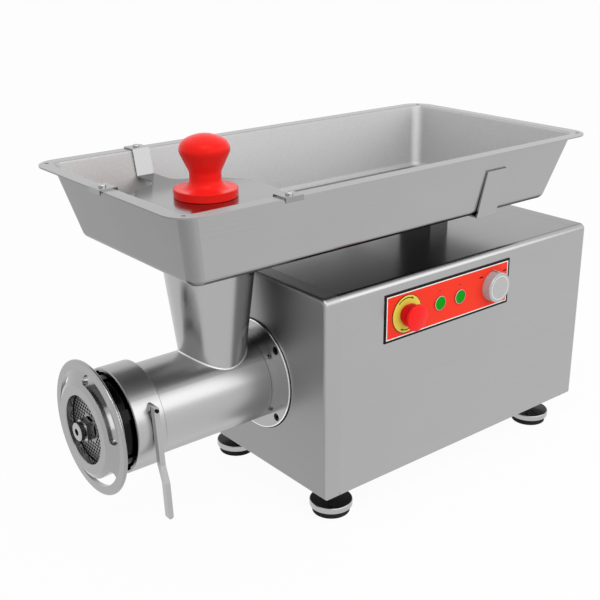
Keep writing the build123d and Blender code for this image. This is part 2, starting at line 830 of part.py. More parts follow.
def make_tray():
    tray = tray_body(0, tray_bottom, tray_wall_top)
    tray = fillet(tray.faces().sort_by(Axis.Z)[0].edges(), tray_floor_fillet)
    rim = RectangleRounded(tray_length, tray_width, rim_corner_radius)
    tray += extrude(Pos(tray_mid_x, 0, tray_wall_top) * rim, tray_sheet)
    hollow = tray_body(tray_sheet, tray_bottom + tray_sheet, tray_rim_top)
    hollow = fillet(hollow.faces().sort_by(Axis.Z)[0].edges(), tray_floor_fillet - tray_sheet)
    tray -= hollow
    mouth = tray.faces().sort_by(Axis.Z)[-1].inner_wires()[0].edges()
    tray = fillet(mouth, rim_bend_radius)
    rim_middle = (rim_corner_radius + tray_corner_radius) / 2
    hole_inset = rim_corner_radius - rim_middle * cos(radians(45))
    half_length, half_breadth = tray_length / 2 - hole_inset, tray_width / 2 - hole_inset
    for x in (tray_mid_x - half_length, tray_mid_x + half_length):
        for y in (-half_breadth, half_breadth):
            tray -= rod_z(rim_hole_radius, tray_wall_top, tray_rim_top, x, y)
    throat_bore = throat_radius - throat_wall
    tray -= rod_z(throat_bore, tray_bottom, tray_bottom + tray_sheet, neck_x, 0)
    throat = rod_z(throat_radius, tray_bottom - throat_length, tray_bottom, neck_x, 0)
    throat -= rod_z(throat_bore, tray_bottom - throat_length, tray_bottom, neck_x, 0)

    guard = rod_z(guard_radius, guard_top - guard_sheet, guard_top, pusher_x, 0)
    screws = []
    arms = [(0, tray_width / 2), (90, pusher_x - tray_front_x), (180, tray_width / 2)]
    for turn, reach in arms:
        guard += Pos(pusher_x, 0, 0) * Rot(0, 0, turn) * guard_arm(reach)
        place = Pos(pusher_x, 0, 0) * Rot(0, 0, turn) * Pos(0, reach - rim_width / 2, 0)
        head_seat = tray_rim_top + guard_sheet
        shank_end = tray_wall_top - guard_sheet
        shank = place * rod_z(guard_screw_radius, shank_end, head_seat, 0, 0)
        head = rod_z(guard_screw_head, head_seat, head_seat + guard_screw_head_height, 0, 0)
        head = fillet(head.edges().group_by(Axis.Z)[-1], guard_screw_head_height * full_round)
        screws.append(place * head + shank)
        guard -= shank
        tray -= shank
    upright = guard.edges().filter_by(Axis.Z)
    centre = Vector(pusher_x, 0, guard_top - guard_sheet / 2)
    roots = [e for e in upright if abs((e.center() - centre).length - guard_radius) < free_gap]
    guard = fillet(roots, guard_blend_radius)
    guard -= rod_z(guard_hole, guard_top - guard_sheet, guard_top, pusher_x, 0)
    return {"tray_pan": tray, "tray_throat": throat, "hand_guard": guard, "guard_screws": group(screws)}


def make_pusher():
    seat = guard_top
    top = seat + pusher_height
    flange_top = seat + pusher_flange_height
    stem_end = seat - pusher_stem_length
    shoulder = (pusher_head_radius, seat + pusher_head_rise)
    flare_top = (pusher_neck_radius, seat + pusher_flare_rise)
    flare_foot = (pusher_foot_radius, flange_top)
    dome = TangentArc((0, top), shoulder, tangent=(1, 0))
    grip = Polyline(shoulder, (pusher_neck_radius, seat + pusher_neck_rise), flare_top)
    flare = TangentArc(flare_top, flare_foot, tangent=(0, -1))
    rest = Polyline(
        flare_foot, (pusher_flange_radius, flange_top), (pusher_flange_radius, seat),
        (pusher_stem_radius, seat), (pusher_stem_radius, stem_end + pusher_tip_chamfer),
        (pusher_stem_radius - pusher_tip_chamfer, stem_end), (0, stem_end), (0, top),
    )
    pusher = turned_z([dome, grip, flare, rest], pusher_x, 0)
    pusher = fillet(circles_of(pusher, pusher_head_radius), pusher_head_blend)
    neck = ShapeList(circles_of(pusher, pusher_neck_radius)).sort_by(Axis.Z)[-1]
    pusher = fillet(neck, pusher_neck_blend)
    pusher = fillet(circles_of(pusher, pusher_flange_radius), pusher_edge_radius)
    return {"pusher": pusher}


def make_cradle():
    x0 = cradle_x - cradle_width / 2
    floor_under = cradle_floor - cradle_sheet
    strap = box_between(x0, x0 + cradle_width, -cradle_half_span, cradle_half_span, floor_under, cradle_floor)
    top = tray_bottom + cradle_arm_rise
    wall_y = tray_floor_width / 2 + wall_lean * cradle_arm_rise + free_gap
    arm = [
        (cradle_half_span - cradle_sheet, floor_under), (cradle_half_span, floor_under),
        (wall_y + cradle_sheet, top), (wall_y, top), (cradle_half_span - cradle_sheet, cradle_floor),
    ]
    for side in (-1, 1):
        outline = make_face(Polyline(*[(side * y, z) for y, z in arm], close=True))
        strap += extrude(Plane.YZ.offset(x0) * outline, cradle_width, dir=(1, 0, 0))
    half_x, half_y = post_width / 2, post_depth / 2
    post_x = cradle_x + post_shift
    post = box_between(post_x - half_x, post_x + half_x, -half_y, half_y, casing_top, floor_under)
    post -= box_between(
        post_x - half_x + post_wall, post_x + half_x - post_wall,
        -half_y + post_wall, half_y - post_wall, casing_top + post_wall, floor_under,
    )
    return {
        "cradle_strap": strap,
        "cradle_post": post,
    }


def contact_block(x):
    """Contact block behind the panel with the lock nut that holds it there."""
    half = device_block_width / 2
    block = box_between(
        x - half, x + half, block_front, block_front + device_block_depth, control_z - half, control_z + half
    )
    return block + rod_y(device_nut_radius, panel_back, block_front, x, control_z)


def barrelled_block(x, barrel_front, bore_radius, bore_back):
    """Contact block with a threaded barrel through the panel and a guide bore along it."""
    block = contact_block(x) + rod_y(device_barrel_radius, barrel_front, block_front, x, control_z)
    return block - rod_y(bore_radius, barrel_front, bore_back, x, control_z)


def make_controls():
    x0 = front_x + plate_start
    plate = box_between(
        x0, x0 + control_plate_length, panel_face, -half_width,
        control_z - control_plate_height / 2, control_z + control_plate_height / 2,
    )
    estop_x = front_x + estop_distance
    button_places = [front_x + button_distance_one, front_x + button_distance_two]
    selector_x = front_x + selector_distance
    for x, radius in control_holes():
        plate -= rod_y(radius, panel_face, -half_width, x, control_z)

    legend_face = panel_face - estop_legend_thickness
    legend = rod_y(estop_legend_radius, legend_face, panel_face, estop_x, control_z)
    legend -= rod_y(device_barrel_radius + slip_gap, legend_face, panel_face, estop_x, control_z)
    bezel_face = legend_face - estop_bezel_height
    stem_front = panel_face - estop_head_reach + estop_head_thickness / 2
    bore_back = block_front + estop_travel + slip_gap
    stem_bore = estop_stem_radius + running_gap
    estop_body = barrelled_block(estop_x, bezel_face, stem_bore, bore_back)
    estop_body += rod_y(estop_bezel_radius, bezel_face, legend_face, estop_x, control_z)
    estop_body -= rod_y(stem_bore, bezel_face, legend_face, estop_x, control_z)
    stem = rod_y(estop_stem_radius, stem_front, block_front, estop_x, control_z)
    head_front = panel_face - estop_head_reach
    head_back = head_front + estop_head_thickness
    skirt_back = legend_face - estop_travel - estop_skirt_gap
    skirt_bore = estop_skirt_radius - estop_skirt_wall
    dome = TangentArc((0, head_front), (estop_head_radius, head_front + estop_crown), tangent=(1, 0))
    underside = Polyline(
        (estop_head_radius, head_front + estop_crown), (estop_head_radius, head_back - estop_under_cone),
        (estop_skirt_radius, head_back), (estop_skirt_radius, skirt_back), (skirt_bore, skirt_back),
        (skirt_bore, head_back), (stem_bore, head_back), (stem_bore, stem_front - running_gap),
        (0, stem_front - running_gap), (0, head_front),
    )
    head = turned_y([dome, underside], estop_x, control_z)
    rim = ShapeList(circles_of(head, estop_head_radius)).sort_by(Axis.Y)[0]
    head = fillet(rim, estop_edge_radius)

    pieces = {}
    bezels = []
    blocks = []
    for name, x in zip(("button_one", "button_two"), button_places):
        bezel_front = panel_face - bezel_height
        bezel = rod_y(button_radius + free_gap + bezel_width, bezel_front, panel_face, x, control_z)
        bezel = chamfer(bezel.edges().group_by(Axis.Y)[0], bezel_width * soft_break)
        bezel -= rod_y(button_radius + free_gap, bezel_front, panel_face, x, control_z)
        bezels.append(bezel)
        cap_front = panel_face - button_proud
        cap_back = block_front - button_travel - free_gap
        stem_back = block_front + button_stem_length
        cap = rod_y(button_radius, cap_front, cap_back, x, control_z)
        cap = fillet(cap.edges().group_by(Axis.Y)[0], button_proud * soft_break)
        pieces[name] = cap + rod_y(button_stem_radius, cap_back, stem_back, x, control_z)
        block = contact_block(x) - rod_y(button_radius + free_gap, panel_back, block_front, x, control_z)
        bore_back = stem_back + button_travel + slip_gap
        blocks.append(block - rod_y(button_stem_radius + running_gap, block_front, bore_back, x, control_z))
    pieces["button_bezels"] = group(bezels)
    pieces["button_blocks"] = group(blocks)

    knob_back = panel_face - free_gap
    knob_front = knob_back - selector_depth
    shaft_back = block_front + selector_shaft_length
    knob = rod_y(selector_radius, knob_front, knob_back, selector_x, control_z)
    knob = chamfer(knob.edges().group_by(Axis.Y)[0], selector_depth * fine_break)
    half_pointer = selector_pointer_width / 2
    knob += box_between(
        selector_x - half_pointer, selector_x + half_pointer, knob_front + selector_pointer_back, knob_back,
        control_z, control_z + selector_radius + selector_pointer_rise,
    )
    knob += rod_y(selector_shaft_radius, knob_back, shaft_back, selector_x, control_z)
    pieces["selector_knob"] = knob
    pieces["selector_switch"] = barrelled_block(
        selector_x, panel_face, selector_shaft_radius + running_gap, shaft_back + slip_gap
    )
    pieces["control_plate"] = plate
    pieces["estop_legend"] = legend
    pieces["estop_body"] = estop_body
    pieces["estop_stem"] = stem
    pieces["estop_head"] = head
    return pieces


def gear(module, teeth, x0, width, tooth_angle):
    """Spur gear about the X axis with involute flanks and one tooth centred on tooth_angle."""
    pitch_radius = module * teeth / 2
    base_radius = pitch_radius * cos(radians(pressure_angle))
    root_radius = pitch_radius - gear_root_depth * module
    tip_radius = pitch_radius + module

    def involute(radius):
        angle = acos(min(1.0, base_radius / radius))
        return tan(angle) - angle

    half_pitch = pi / (2 * teeth) - gear_backlash / (2 * pitch_radius) + involute(pitch_radius)
    low = max(base_radius, root_radius)
    lower_flank, upper_flank = (low + pitch_radius) / 2, (pitch_radius + tip_radius) / 2
    levels = [root_radius, low, lower_flank, pitch_radius, upper_flank, tip_radius]
    if low == root_radius:
        levels = levels[1:]
    flank = [(r, half_pitch - involute(max(r, base_radius))) for r in levels]
    points = []
    for tooth in range(teeth):
        middle = radians(tooth_angle) + 2 * pi * tooth / teeth
        points += [(r * cos(middle - half), r * sin(middle - half)) for r, half in flank]
        points += [(r * cos(middle + half), r * sin(middle + half)) for r, half in reversed(flank)]
    return extrude(Plane.YZ.offset(x0) * make_face(Polyline(*points, close=True)), width)


def bearing(bore, x0, z):
    ring = rod_x(bore + bearing_ring, x0, x0 + bearing_width, 0, z)
    return ring - rod_x(bore + running_gap, x0, x0 + bearing_width, 0, z)


def make_gear_train():
    tip_output = output_pitch_radius + gear_module_output
    tip_lay = lay_pitch_radius + gear_module_motor
    up, down = 90.0, -90.0
    lay_gap = 180.0 / gear_teeth_lay_pinion
    motor_gap = 180.0 / gear_teeth_motor

    output_gear = Pos(0, 0, axis_z) * gear(
        gear_module_output, gear_teeth_output, output_gear_x, gear_width_output, up
    )
    output_gear -= rod_x(output_shaft_radius, output_gear_x, motor_gear_x, 0, axis_z)
    shaft_front = barrel_rear_x + slip_gap
    head_back = gearbox_x + (gearbox_boss_length - 3 * bearing_width) / 2 - free_gap
    output_shaft = rod_x(output_head_radius, shaft_front, head_back, 0, axis_z)
    output_shaft += rod_x(output_shaft_radius, head_back, output_gear_x + gear_width_output, 0, axis_z)
    socket_back = barrel_rear_x + tang_length + slip_gap
    output_shaft -= square_bar(tang_square + 2 * slip_gap, shaft_front, socket_back)

    lay_front = gearbox_x + gearbox_boss_length - bearing_width
    lay_back = cover_x + bearing_width
    lay = Pos(0, 0, lay_z) * gear(
        gear_module_output, gear_teeth_lay_pinion, output_gear_x, gear_width_output, down + lay_gap
    )
    lay += Pos(0, 0, lay_z) * gear(gear_module_motor, gear_teeth_lay, motor_gear_x, gear_width_motor, down)
    lay += rod_x(lay_shaft_radius, lay_front, lay_back, 0, lay_z)

    inner_low = axis_z - tip_output - gearbox_tip_gap
    inner_high = lay_z + tip_lay + gearbox_tip_gap
    inner_side = max(tip_output, tip_lay) + gearbox_tip_gap
    housing = box_between(
        gearbox_x, cover_x, -inner_side - gearbox_wall, inner_side + gearbox_wall,
        inner_low - gearbox_wall, inner_high + gearbox_wall,
    )
    housing = fillet(housing.edges().filter_by(Axis.X), gearbox_wall)
    housing -= box_between(
        gearbox_x + gearbox_front_wall, cover_x, -inner_side, inner_side, inner_low, inner_high
    )
    boss_back = gearbox_x + gearbox_boss_length
    for radius, z in ((output_shaft_radius, axis_z), (lay_shaft_radius, lay_z)):
        boss_radius = radius + bearing_ring + gearbox_wall
        housing += rod_x(boss_radius, gearbox_x, boss_back, 0, z)
    housing -= rod_x(output_shaft_radius + bearing_ring, gearbox_x, boss_back, 0, axis_z)
    housing -= rod_x(lay_shaft_radius + bearing_ring, lay_front, boss_back, 0, lay_z)

    cover = box_between(
        cover_x, motor_x, -inner_side - gearbox_wall, inner_side + gearbox_wall,
        inner_low - gearbox_wall, inner_high + gearbox_wall,
    )
    cover = fillet(cover.edges().filter_by(Axis.X), gearbox_wall)
    cover -= rod_x(lay_shaft_radius + bearing_ring, cover_x, lay_back, 0, lay_z)
    cover -= rod_x(rotor_shaft_radius + bearing_ring, cover_x, cover_x + bearing_width, 0, axis_z)
    cover -= rod_x(rotor_shaft_radius + free_gap, cover_x, motor_x, 0, axis_z)
    screws = []
    corner_inset = gearbox_wall - 2 * gearbox_screw_radius
    corner_y = inner_side + corner_inset
    head_end = motor_x + gearbox_screw_head_height
    for y in (-corner_y, corner_y):
        for z in (inner_low - corner_inset, inner_high + corner_inset):
            shank = rod_x(gearbox_screw_radius, motor_x - gearbox_screw_length, motor_x, y, z)
            cover -= shank
            housing -= shank
            screws.append(shank + rod_x(gearbox_screw_head, motor_x, head_end, y, z))
    for quarter in range(4):
        angle = radians(45 + 90 * quarter)
        y = flange_screw_circle * cos(angle)
        z = axis_z + flange_screw_circle * sin(angle)
        screw_end = barrel_rear_x + flange_screw_sink + flange_screw_length
        housing -= rod_x(flange_screw_radius, gearbox_x, screw_end, y, z)

    bearing_gap = (gearbox_boss_length - 3 * bearing_width) / 2
    first = gearbox_x + bearing_gap
    bearings = [
        bearing(output_shaft_radius, first, axis_z),
        bearing(output_shaft_radius, boss_back - bearing_width, axis_z),
        bearing(lay_shaft_radius, lay_front, lay_z),
        bearing(lay_shaft_radius, cover_x, lay_z),
        bearing(rotor_shaft_radius, cover_x, axis_z),
        bearing(rotor_shaft_radius, motor_end_x, axis_z),
    ]
    seal = rod_x(flange_bore, barrel_rear_x + flange_proud, gearbox_x, 0, axis_z)
    seal -= rod_x(output_head_radius + running_gap, barrel_rear_x + flange_proud, gearbox_x, 0, axis_z)

    pinion = Pos(0, 0, axis_z) * gear(
        gear_module_motor, gear_teeth_motor, motor_gear_x, gear_width_motor, up + motor_gap
    )
    shaft_back = fan_x + fan_width
    rotor = rod_x(rotor_shaft_radius, motor_gear_x, shaft_back, 0, axis_z)
    rotor += pinion
    rotor += rod_x(rotor_radius - air_gap, core_x, core_x + core_length, 0, axis_z)
    return {
        "output_gear": output_gear,
        "output_shaft": output_shaft,
        "layshaft": lay,
        "gearbox_housing": housing,
        "gearbox_cover": cover,
        "gearbox_screws": group(screws),
        "bearings": group(bearings),
        "shaft_seal": seal,
        "motor_rotor": rotor,
    }, inner_low - gearbox_wall, inner_side + gearbox_wall


def make_motor(gearbox_bottom, gearbox_half_width):
    bore = motor_radius - motor_shell_wall
    skin = motor_radius - motor_fin_height
    shell = rod_x(skin, motor_x, motor_end_x, 0, axis_z)
    half_fin = motor_fin_width / 2
    for count in range(motor_fins):
        fin = box_between(motor_x, motor_end_x, -half_fin, half_fin, skin - motor_fin_width, motor_radius)
        shell += Pos(0, 0, axis_z) * Rot(360 * (count + 0.5) / motor_fins, 0, 0) * fin
    shell -= rod_x(bore, motor_x, motor_end_x, 0, axis_z)

    stator = rod_x(bore, core_x, core_x + core_length, 0, axis_z)
    coil_back = core_x + core_length + winding_overhang
    stator += rod_x(bore - winding_margin, core_x - winding_overhang, coil_back, 0, axis_z)
    stator -= rod_x(rotor_radius, core_x - winding_overhang, coil_back, 0, axis_z)
    bell_back = motor_end_x + end_bell_thickness
    bell = rod_x(motor_radius, motor_end_x, bell_back, 0, axis_z)
    bell -= rod_x(rotor_shaft_radius + bearing_ring, motor_end_x, motor_end_x + bearing_width, 0, axis_z)
    bell -= rod_x(rotor_shaft_radius + free_gap, motor_end_x, bell_back, 0, axis_z)
    fan = rod_x(fan_hub_radius, fan_x, fan_x + fan_width, 0, axis_z)
    half_blade = fan_blade_thickness / 2
    for count in range(fan_blades):
        blade = box_between(fan_x, fan_x + fan_width, -half_blade, half_blade, fan_hub_radius / 2, fan_radius)
        fan += Pos(0, 0, axis_z) * Rot(360 * count / fan_blades, 0, 0) * blade
    fan -= rod_x(rotor_shaft_radius, fan_x, fan_x + fan_width, 0, axis_z)

    half = stand_width / 2
    middle = (motor_x + motor_end_x) / 2
    motor_stand = box_between(
        middle - stand_length / 2, middle + stand_length / 2, -half, half, base_top, axis_z
    )
    motor_stand -= rod_x(motor_radius + slip_gap, middle - stand_length, middle + stand_length, 0, axis_z)
    motor_stand -= box_between(
        middle - stand_length / 2, middle + stand_length / 2, -half + stand_wall, half - stand_wall,
        base_top + stand_wall, axis_z - motor_radius - stand_wall,
    )
    motor_stand -= box_between(
        middle - stand_length, middle + stand_length, -half, half, axis_z - motor_radius / 2, axis_z
    )
    gear_stand = box_between(
        gearbox_x, cover_x, -gearbox_half_width, gearbox_half_width, base_top, gearbox_bottom
    )
    gear_stand -= box_between(
        gearbox_x, cover_x, -gearbox_half_width + stand_wall, gearbox_half_width - stand_wall,
        base_top + stand_wall, gearbox_bottom - stand_wall,
    )
    return {
        "motor_shell": shell,
        "motor_stator": stator,
        "motor_end_bell": bell,
        "motor_fan": fan,
        "drive_stands": group([motor_stand, gear_stand]),
    }


def make_electrics():
    x1 = rear_x - contactor_rear_gap
    y = contactor_offset
    half = contactor_width / 2
    top = base_top + contactor_height
    contactor = box_between(x1 - contactor_length, x1, y - half, y + half, base_top, top)
    pole_pitch = contactor_width / contactor_poles
    half_slot = pole_pitch * edge_break
    for count in range(contactor_poles):
        slot_y = y - half + (count + 0.5) * pole_pitch
        contactor -= box_between(
            x1 - contactor_length, x1, slot_y - half_slot, slot_y + half_slot, top - contactor_slot_depth, top
        )
    capacitor = rod_z(
        capacitor_radius, base_top, base_top + capacitor_height, rear_x - capacitor_rear_gap, capacitor_offset
    )
    capacitor = fillet(capacitor.edges().group_by(Axis.Z)[-1], capacitor_radius * edge_break)
    z = foot_height + gland_rise
    inside = rear_x - casing_sheet
    gland = rod_x(gland_radius, inside, rear_x + gland_reach, gland_offset, z)
    gland = fillet(gland.edges().group_by(Axis.X)[-1], gland_radius * soft_break)
    hexagon = RegularPolygon(gland_nut_radius, 6, major_radius=False)
    nut = Pos(gland_offset, z) * hexagon
    gland += extrude(Plane.YZ.offset(rear_x) * nut, gland_reach * soft_break)
    gland += extrude(Plane.YZ.offset(inside - gland_inner_length) * nut, gland_inner_length)
    gland -= rod_x(gland_bore, inside - gland_inner_length, rear_x + gland_reach, gland_offset, z)
    return {"contactor": contactor, "capacitor": capacitor, "cable_gland": gland}


gear_pieces, gearbox_bottom, gearbox_half_width = make_gear_train()
nodes = {
    **make_casing(),
    **make_feet(),
    **make_head(),
    **make_wheel(),
    **make_cutting_set(),
    **make_tray(),
    **make_pusher(),
    **make_cradle(),
    **make_controls(),
    **gear_pieces,
    **make_motor(gearbox_bottom, gearbox_half_width),
    **make_electrics(),
}

os.makedirs("parts", exist_ok=True)
for name, shape in nodes.items():
    export_step(shape, "parts/" + name + ".step")
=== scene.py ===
import math

import bmesh
import bpy
from mathutils import Matrix, Vector


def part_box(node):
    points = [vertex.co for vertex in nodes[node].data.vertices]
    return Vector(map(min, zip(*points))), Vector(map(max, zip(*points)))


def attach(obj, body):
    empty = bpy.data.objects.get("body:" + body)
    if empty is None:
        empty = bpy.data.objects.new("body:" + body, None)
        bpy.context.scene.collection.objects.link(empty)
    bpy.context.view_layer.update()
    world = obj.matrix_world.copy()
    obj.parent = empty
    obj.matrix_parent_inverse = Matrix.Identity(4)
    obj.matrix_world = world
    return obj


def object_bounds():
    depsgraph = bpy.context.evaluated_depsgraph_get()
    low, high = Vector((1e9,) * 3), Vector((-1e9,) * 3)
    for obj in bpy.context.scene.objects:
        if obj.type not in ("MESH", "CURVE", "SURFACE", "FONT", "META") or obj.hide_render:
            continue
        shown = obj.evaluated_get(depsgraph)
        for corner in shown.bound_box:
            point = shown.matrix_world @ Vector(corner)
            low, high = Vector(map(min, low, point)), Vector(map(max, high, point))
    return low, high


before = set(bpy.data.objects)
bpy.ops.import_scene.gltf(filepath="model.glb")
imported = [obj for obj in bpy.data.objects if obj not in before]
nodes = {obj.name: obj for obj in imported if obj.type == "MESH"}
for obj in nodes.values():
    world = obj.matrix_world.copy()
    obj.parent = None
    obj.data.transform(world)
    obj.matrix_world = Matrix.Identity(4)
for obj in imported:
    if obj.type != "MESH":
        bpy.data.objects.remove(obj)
cad_low, cad_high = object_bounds()


# Casing: a wrapper of satin stainless sheet closed by a dished end panel and a rear cover,
# standing on a folded base plate. The sheet is belt-brushed along the machine's length
# and screwed up from below.
class Signal:
    """A socket of a material's tree; arithmetic on it adds the nodes that work it out."""

    def __init__(self, tree, socket):
        self.tree = tree
        self.socket = socket

    def node(self, kind, settings=None, sockets=None, output=0):
        made = self.tree.nodes.new("ShaderNode" + kind)
        for name, value in (settings or {}).items():
            setattr(made, name, value)
        for name, value in (sockets or {}).items():
            if isinstance(value, Signal):
                self.tree.links.new(value.socket, made.inputs[name])
            else:
                made.inputs[name].default_value = value
        return Signal(self.tree, made.outputs[output])

    def math(self, operation, first, second=0.0):
        return self.node("Math", {"operation": operation}, {0: first, 1: second})

    def __add__(self, other):
        return self.math("ADD", self, other)

    def __sub__(self, other):
        return self.math("SUBTRACT", self, other)

    def __mul__(self, other):
        return self.math("MULTIPLY", self, other)

    def __rsub__(self, other):
        return self.math("SUBTRACT", other, self)

    def __gt__(self, other):
        return self.math("GREATER_THAN", self, other)

    def __lt__(self, other):
        return self.math("LESS_THAN", self, other)

    __radd__ = __add__


def start_finish(name):
    """A new material, its shader and the place on the piece."""
    material = bpy.data.materials.new(name)
    material.use_nodes = True
    shader = material.node_tree.nodes["Principled BSDF"]
    return material, shader, place_on(material)


def parts_of(vector):
    return [vector.node("SeparateXYZ", {}, {0: vector}, output=i) for i in range(3)]


def feed(shader, name, signal):
    shader.id_data.links.new(signal.socket, shader.inputs[name])


def stretched_noise(place, scale, detail=3.0):
    """Noise drawn out along the direction that the scale is small in."""
    drawn = place.node("Mapping", {}, {"Vector": place, "Scale": scale})
    return place.node("TexNoise", {}, {"Vector": drawn, "Scale": 1.0, "Detail": detail})


def mixed_colour(place, factor, low, high):
    return place.node(
        "Mix", {"data_type": "RGBA"}, {"Factor": factor, 6: (*low, 1.0), 7: (*high, 1.0)}, output=2
    )


def add_bump(shader, place, height, strength, distance):
    bump = place.node("Bump", {}, {"Height": height, "Strength": strength, "Distance": distance})
    feed(shader, "Normal", bump)


def vary_roughness(shader, middle, mark, mark_spread, cloud, cloud_spread):
    """Roughness that wanders about its middle value with two noises."""
    lowest = middle - (mark_spread + cloud_spread) / 2
    feed(shader, "Roughness", mark * mark_spread + cloud * cloud_spread + lowest)


def near(signal, value, reach):
    """1 where the signal lies within reach of the value."""
    return signal.math("ABSOLUTE", signal - value) < reach


def either(first, second):
    return first.math("MAXIMUM", first, second)


def over_paint(material, mask, colour):
    """Lays a colour over a finish where the mask is 1."""
    shader = material.node_tree.nodes["Principled BSDF"]
    under = Signal(material.node_tree, shader.inputs["Base Color"].links[0].from_socket)
    painted = under.node(
        "Mix", {"data_type": "RGBA"}, {"Factor": mask, 6: under, 7: (*colour, 1.0)}, output=2
    )
    feed(shader, "Base Color", painted)


def paint_shade(material, mask, share):
    """Paints shade: darkens a finish to a share of its colour where the mask is 1."""
    shader = material.node_tree.nodes["Principled BSDF"]
    under = Signal(material.node_tree, shader.inputs["Base Color"].links[0].from_socket)
    scale = 1.0 - mask * (1.0 - share)
    feed(shader, "Base Color", under.node("VectorMath", {"operation": "SCALE"}, {0: under, "Scale": scale}))


def place_on(material):
    """The place on the piece, in the shared frame."""
    return Signal(material.node_tree, None).node("TexCoord", output=3)


def facing_of(material):
    """The direction that the surface faces."""
    return Signal(material.node_tree, None).node("TexCoord", output=1)


scratch_relief = 0.0004
scratch_share = 0.6
mark_share = 0.7
sheet_depth = 0.015
sheet_cloud = (7.0, 7.0, 7.0)
sheet_tones = (0.92, 1.08)


def brushed_steel(name, grain, grey=0.43, rough=0.24):
    """Sheet brushed along one axis: long fine scratches over a slow cloudiness."""
    material, shader, place = start_finish(name)
    scratch_scale = tuple(6.0 if axis == grain else 1100.0 for axis in "XYZ")
    streak_scale = tuple(1.5 if axis == grain else 160.0 for axis in "XYZ")
    fine = stretched_noise(place, scratch_scale)
    broad = stretched_noise(place, streak_scale, 2.0)
    cloud = stretched_noise(place, sheet_cloud, 2.0)
    mark = fine * scratch_share + broad * (1.0 - scratch_share)
    tone = mark * mark_share + cloud * (1.0 - mark_share)
    dark, light = [(grey * share,) * 3 for share in sheet_tones]
    feed(shader, "Base Color", mixed_colour(place, tone, dark, light))
    vary_roughness(shader, rough, mark, 0.1, cloud, 0.06)
    add_bump(shader, place, mark, sheet_depth, scratch_relief)
    shader.inputs["Metallic"].default_value = 1.0
    return material


def dress(material, *names):
    for name in names:
        data = nodes[name].data
        data.materials.clear()
        data.materials.append(material)


casing_steel = brushed_steel("casing_steel", "X")
end_steel = brushed_steel("end_steel", "Y", rough=0.38)
level_top = 0.9
top_shade_share = 0.6
end_facing, end_shade_share = -0.7, 0.77
seam_half = 0.0004
seam_tick = 0.005
seam_grey = (0.2, 0.2, 0.2)
casing_low, casing_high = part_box("casing_shell")
for steel in (casing_steel, end_steel):
    along, _, up = parts_of(place_on(steel))
    endways, _, skyward = parts_of(facing_of(steel))
    shown = either(skyward > level_top, up < casing_low.z + seam_tick)
    for edge in (casing_low.x, casing_high.x):
        over_paint(steel, near(along, edge, seam_half) * shown, seam_grey)
    # Painted shade: tops are darkened to 0.6 and faces toward the head's end to 0.77 of their colour.
    paint_shade(steel, skyward > level_top, top_shade_share)
    paint_shade(steel, endways < end_facing, end_shade_share)
dress(casing_steel, "casing_shell", "rear_cover", "base_plate")
dress(end_steel, "front_panel")


# Feet: turned stainless cups on threaded studs, each pressed over a black rubber pad
# and screwed up into the base plate to level the machine.
lathe_cloud = (9.0, 9.0, 9.0)
lathe_tones = (0.93, 1.07)
ring_drift = 1.2


def turned_steel(name, axis, centre, grey=0.43, rough=0.22, depth=0.012, pitch=900.0):
    """Metal finished on a lathe: fine rings about an axis through centre."""
    material, shader, place = start_finish(name)
    moved = place.node("Mapping", {}, {"Vector": place, "Location": tuple(-c for c in centre)})
    along, first, second = [
        moved.node("SeparateXYZ", {}, {0: moved}, output="XYZ".index(letter))
        for letter in {"X": "XYZ", "Y": "YZX", "Z": "ZXY"}[axis]
    ]
    turn = first.math("ARCTAN2", second, first)
    radius = first.math("SQRT", first * first + second * second)
    rings = place.node("CombineXYZ", {}, {0: along * pitch, 1: radius * pitch, 2: turn * ring_drift})
    mark = place.node("TexNoise", {}, {"Vector": rings, "Scale": 1.0, "Detail": 3.0})
    cloud = stretched_noise(place, lathe_cloud, 2.0)
    tone = mark * mark_share + cloud * (1.0 - mark_share)
    dark, light = [(grey * share,) * 3 for share in lathe_tones]
    feed(shader, "Base Color", mixed_colour(place, tone, dark, light))
    vary_roughness(shader, rough, mark, 0.08, cloud, 0.05)
    add_bump(shader, place, mark, depth, scratch_relief)
    shader.inputs["Metallic"].default_value = 1.0
    return material


plain_tint = (1.0, 1.0, 1.0)
drift_scale = (14.0, 14.0, 14.0)
drift_share = 0.7
low_share = 0.92
pore_relief = 0.0003


def moulded(name, colour, rough=0.4, grain=2600.0, depth=0.04, gloss=0.5, tint=plain_tint):
    """Moulded plastic or rubber with a fine grain and a slight drift of colour."""
    material, shader, place = start_finish(name)
    shader.inputs["Specular IOR Level"].default_value = gloss
    shader.inputs["Specular Tint"].default_value = (*tint, 1.0)
    pores = stretched_noise(place, (grain,) * 3, 2.0)
    drift = stretched_noise(place, drift_scale, 2.0)
    low = tuple(low_share * c for c in colour)
    tone = drift * drift_share + pores * (1.0 - drift_share)
    feed(shader, "Base Color", mixed_colour(place, tone, low, colour))
    vary_roughness(shader, rough, pores, 0.12, drift, 0.08)
    add_bump(shader, place, pores, depth, pore_relief)
    return material


cup_black = (0.012, 0.012, 0.012)
stud_reach = 0.0085
stud_highlight_grey = (0.8, 0.8, 0.8)
stud_highlight_paint = 0.7
foot_names = ["front_near", "front_far", "rear_near", "rear_far"]
pad_rubber = moulded("pad_rubber", (0.022, 0.022, 0.023), rough=0.7, grain=1500.0, gloss=0.1)
for foot in foot_names:
    low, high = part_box("foot_" + foot)
    middle = (low + high) / 2
    cup_steel = turned_steel("cup_steel_" + foot, "Z", middle, grey=0.45, rough=0.16)
    skyward = parts_of(facing_of(cup_steel))[2]
    over_paint(cup_steel, skyward > level_top, cup_black)
    across, sideways, _ = parts_of(place_on(cup_steel))
    beside_axis = near(across, middle.x, stud_reach) * near(sideways, middle.y, stud_reach)
    stud = beside_axis * (skyward < level_top)
    # Painted highlight: the stud's neck is painted pale and less metallic.
    over_paint(cup_steel, stud, stud_highlight_grey)
    feed(cup_steel.node_tree.nodes["Principled BSDF"], "Metallic", 1.0 - stud * stud_highlight_paint)
    dress(cup_steel, "foot_" + foot)
    dress(pad_rubber, "foot_pad_" + foot)


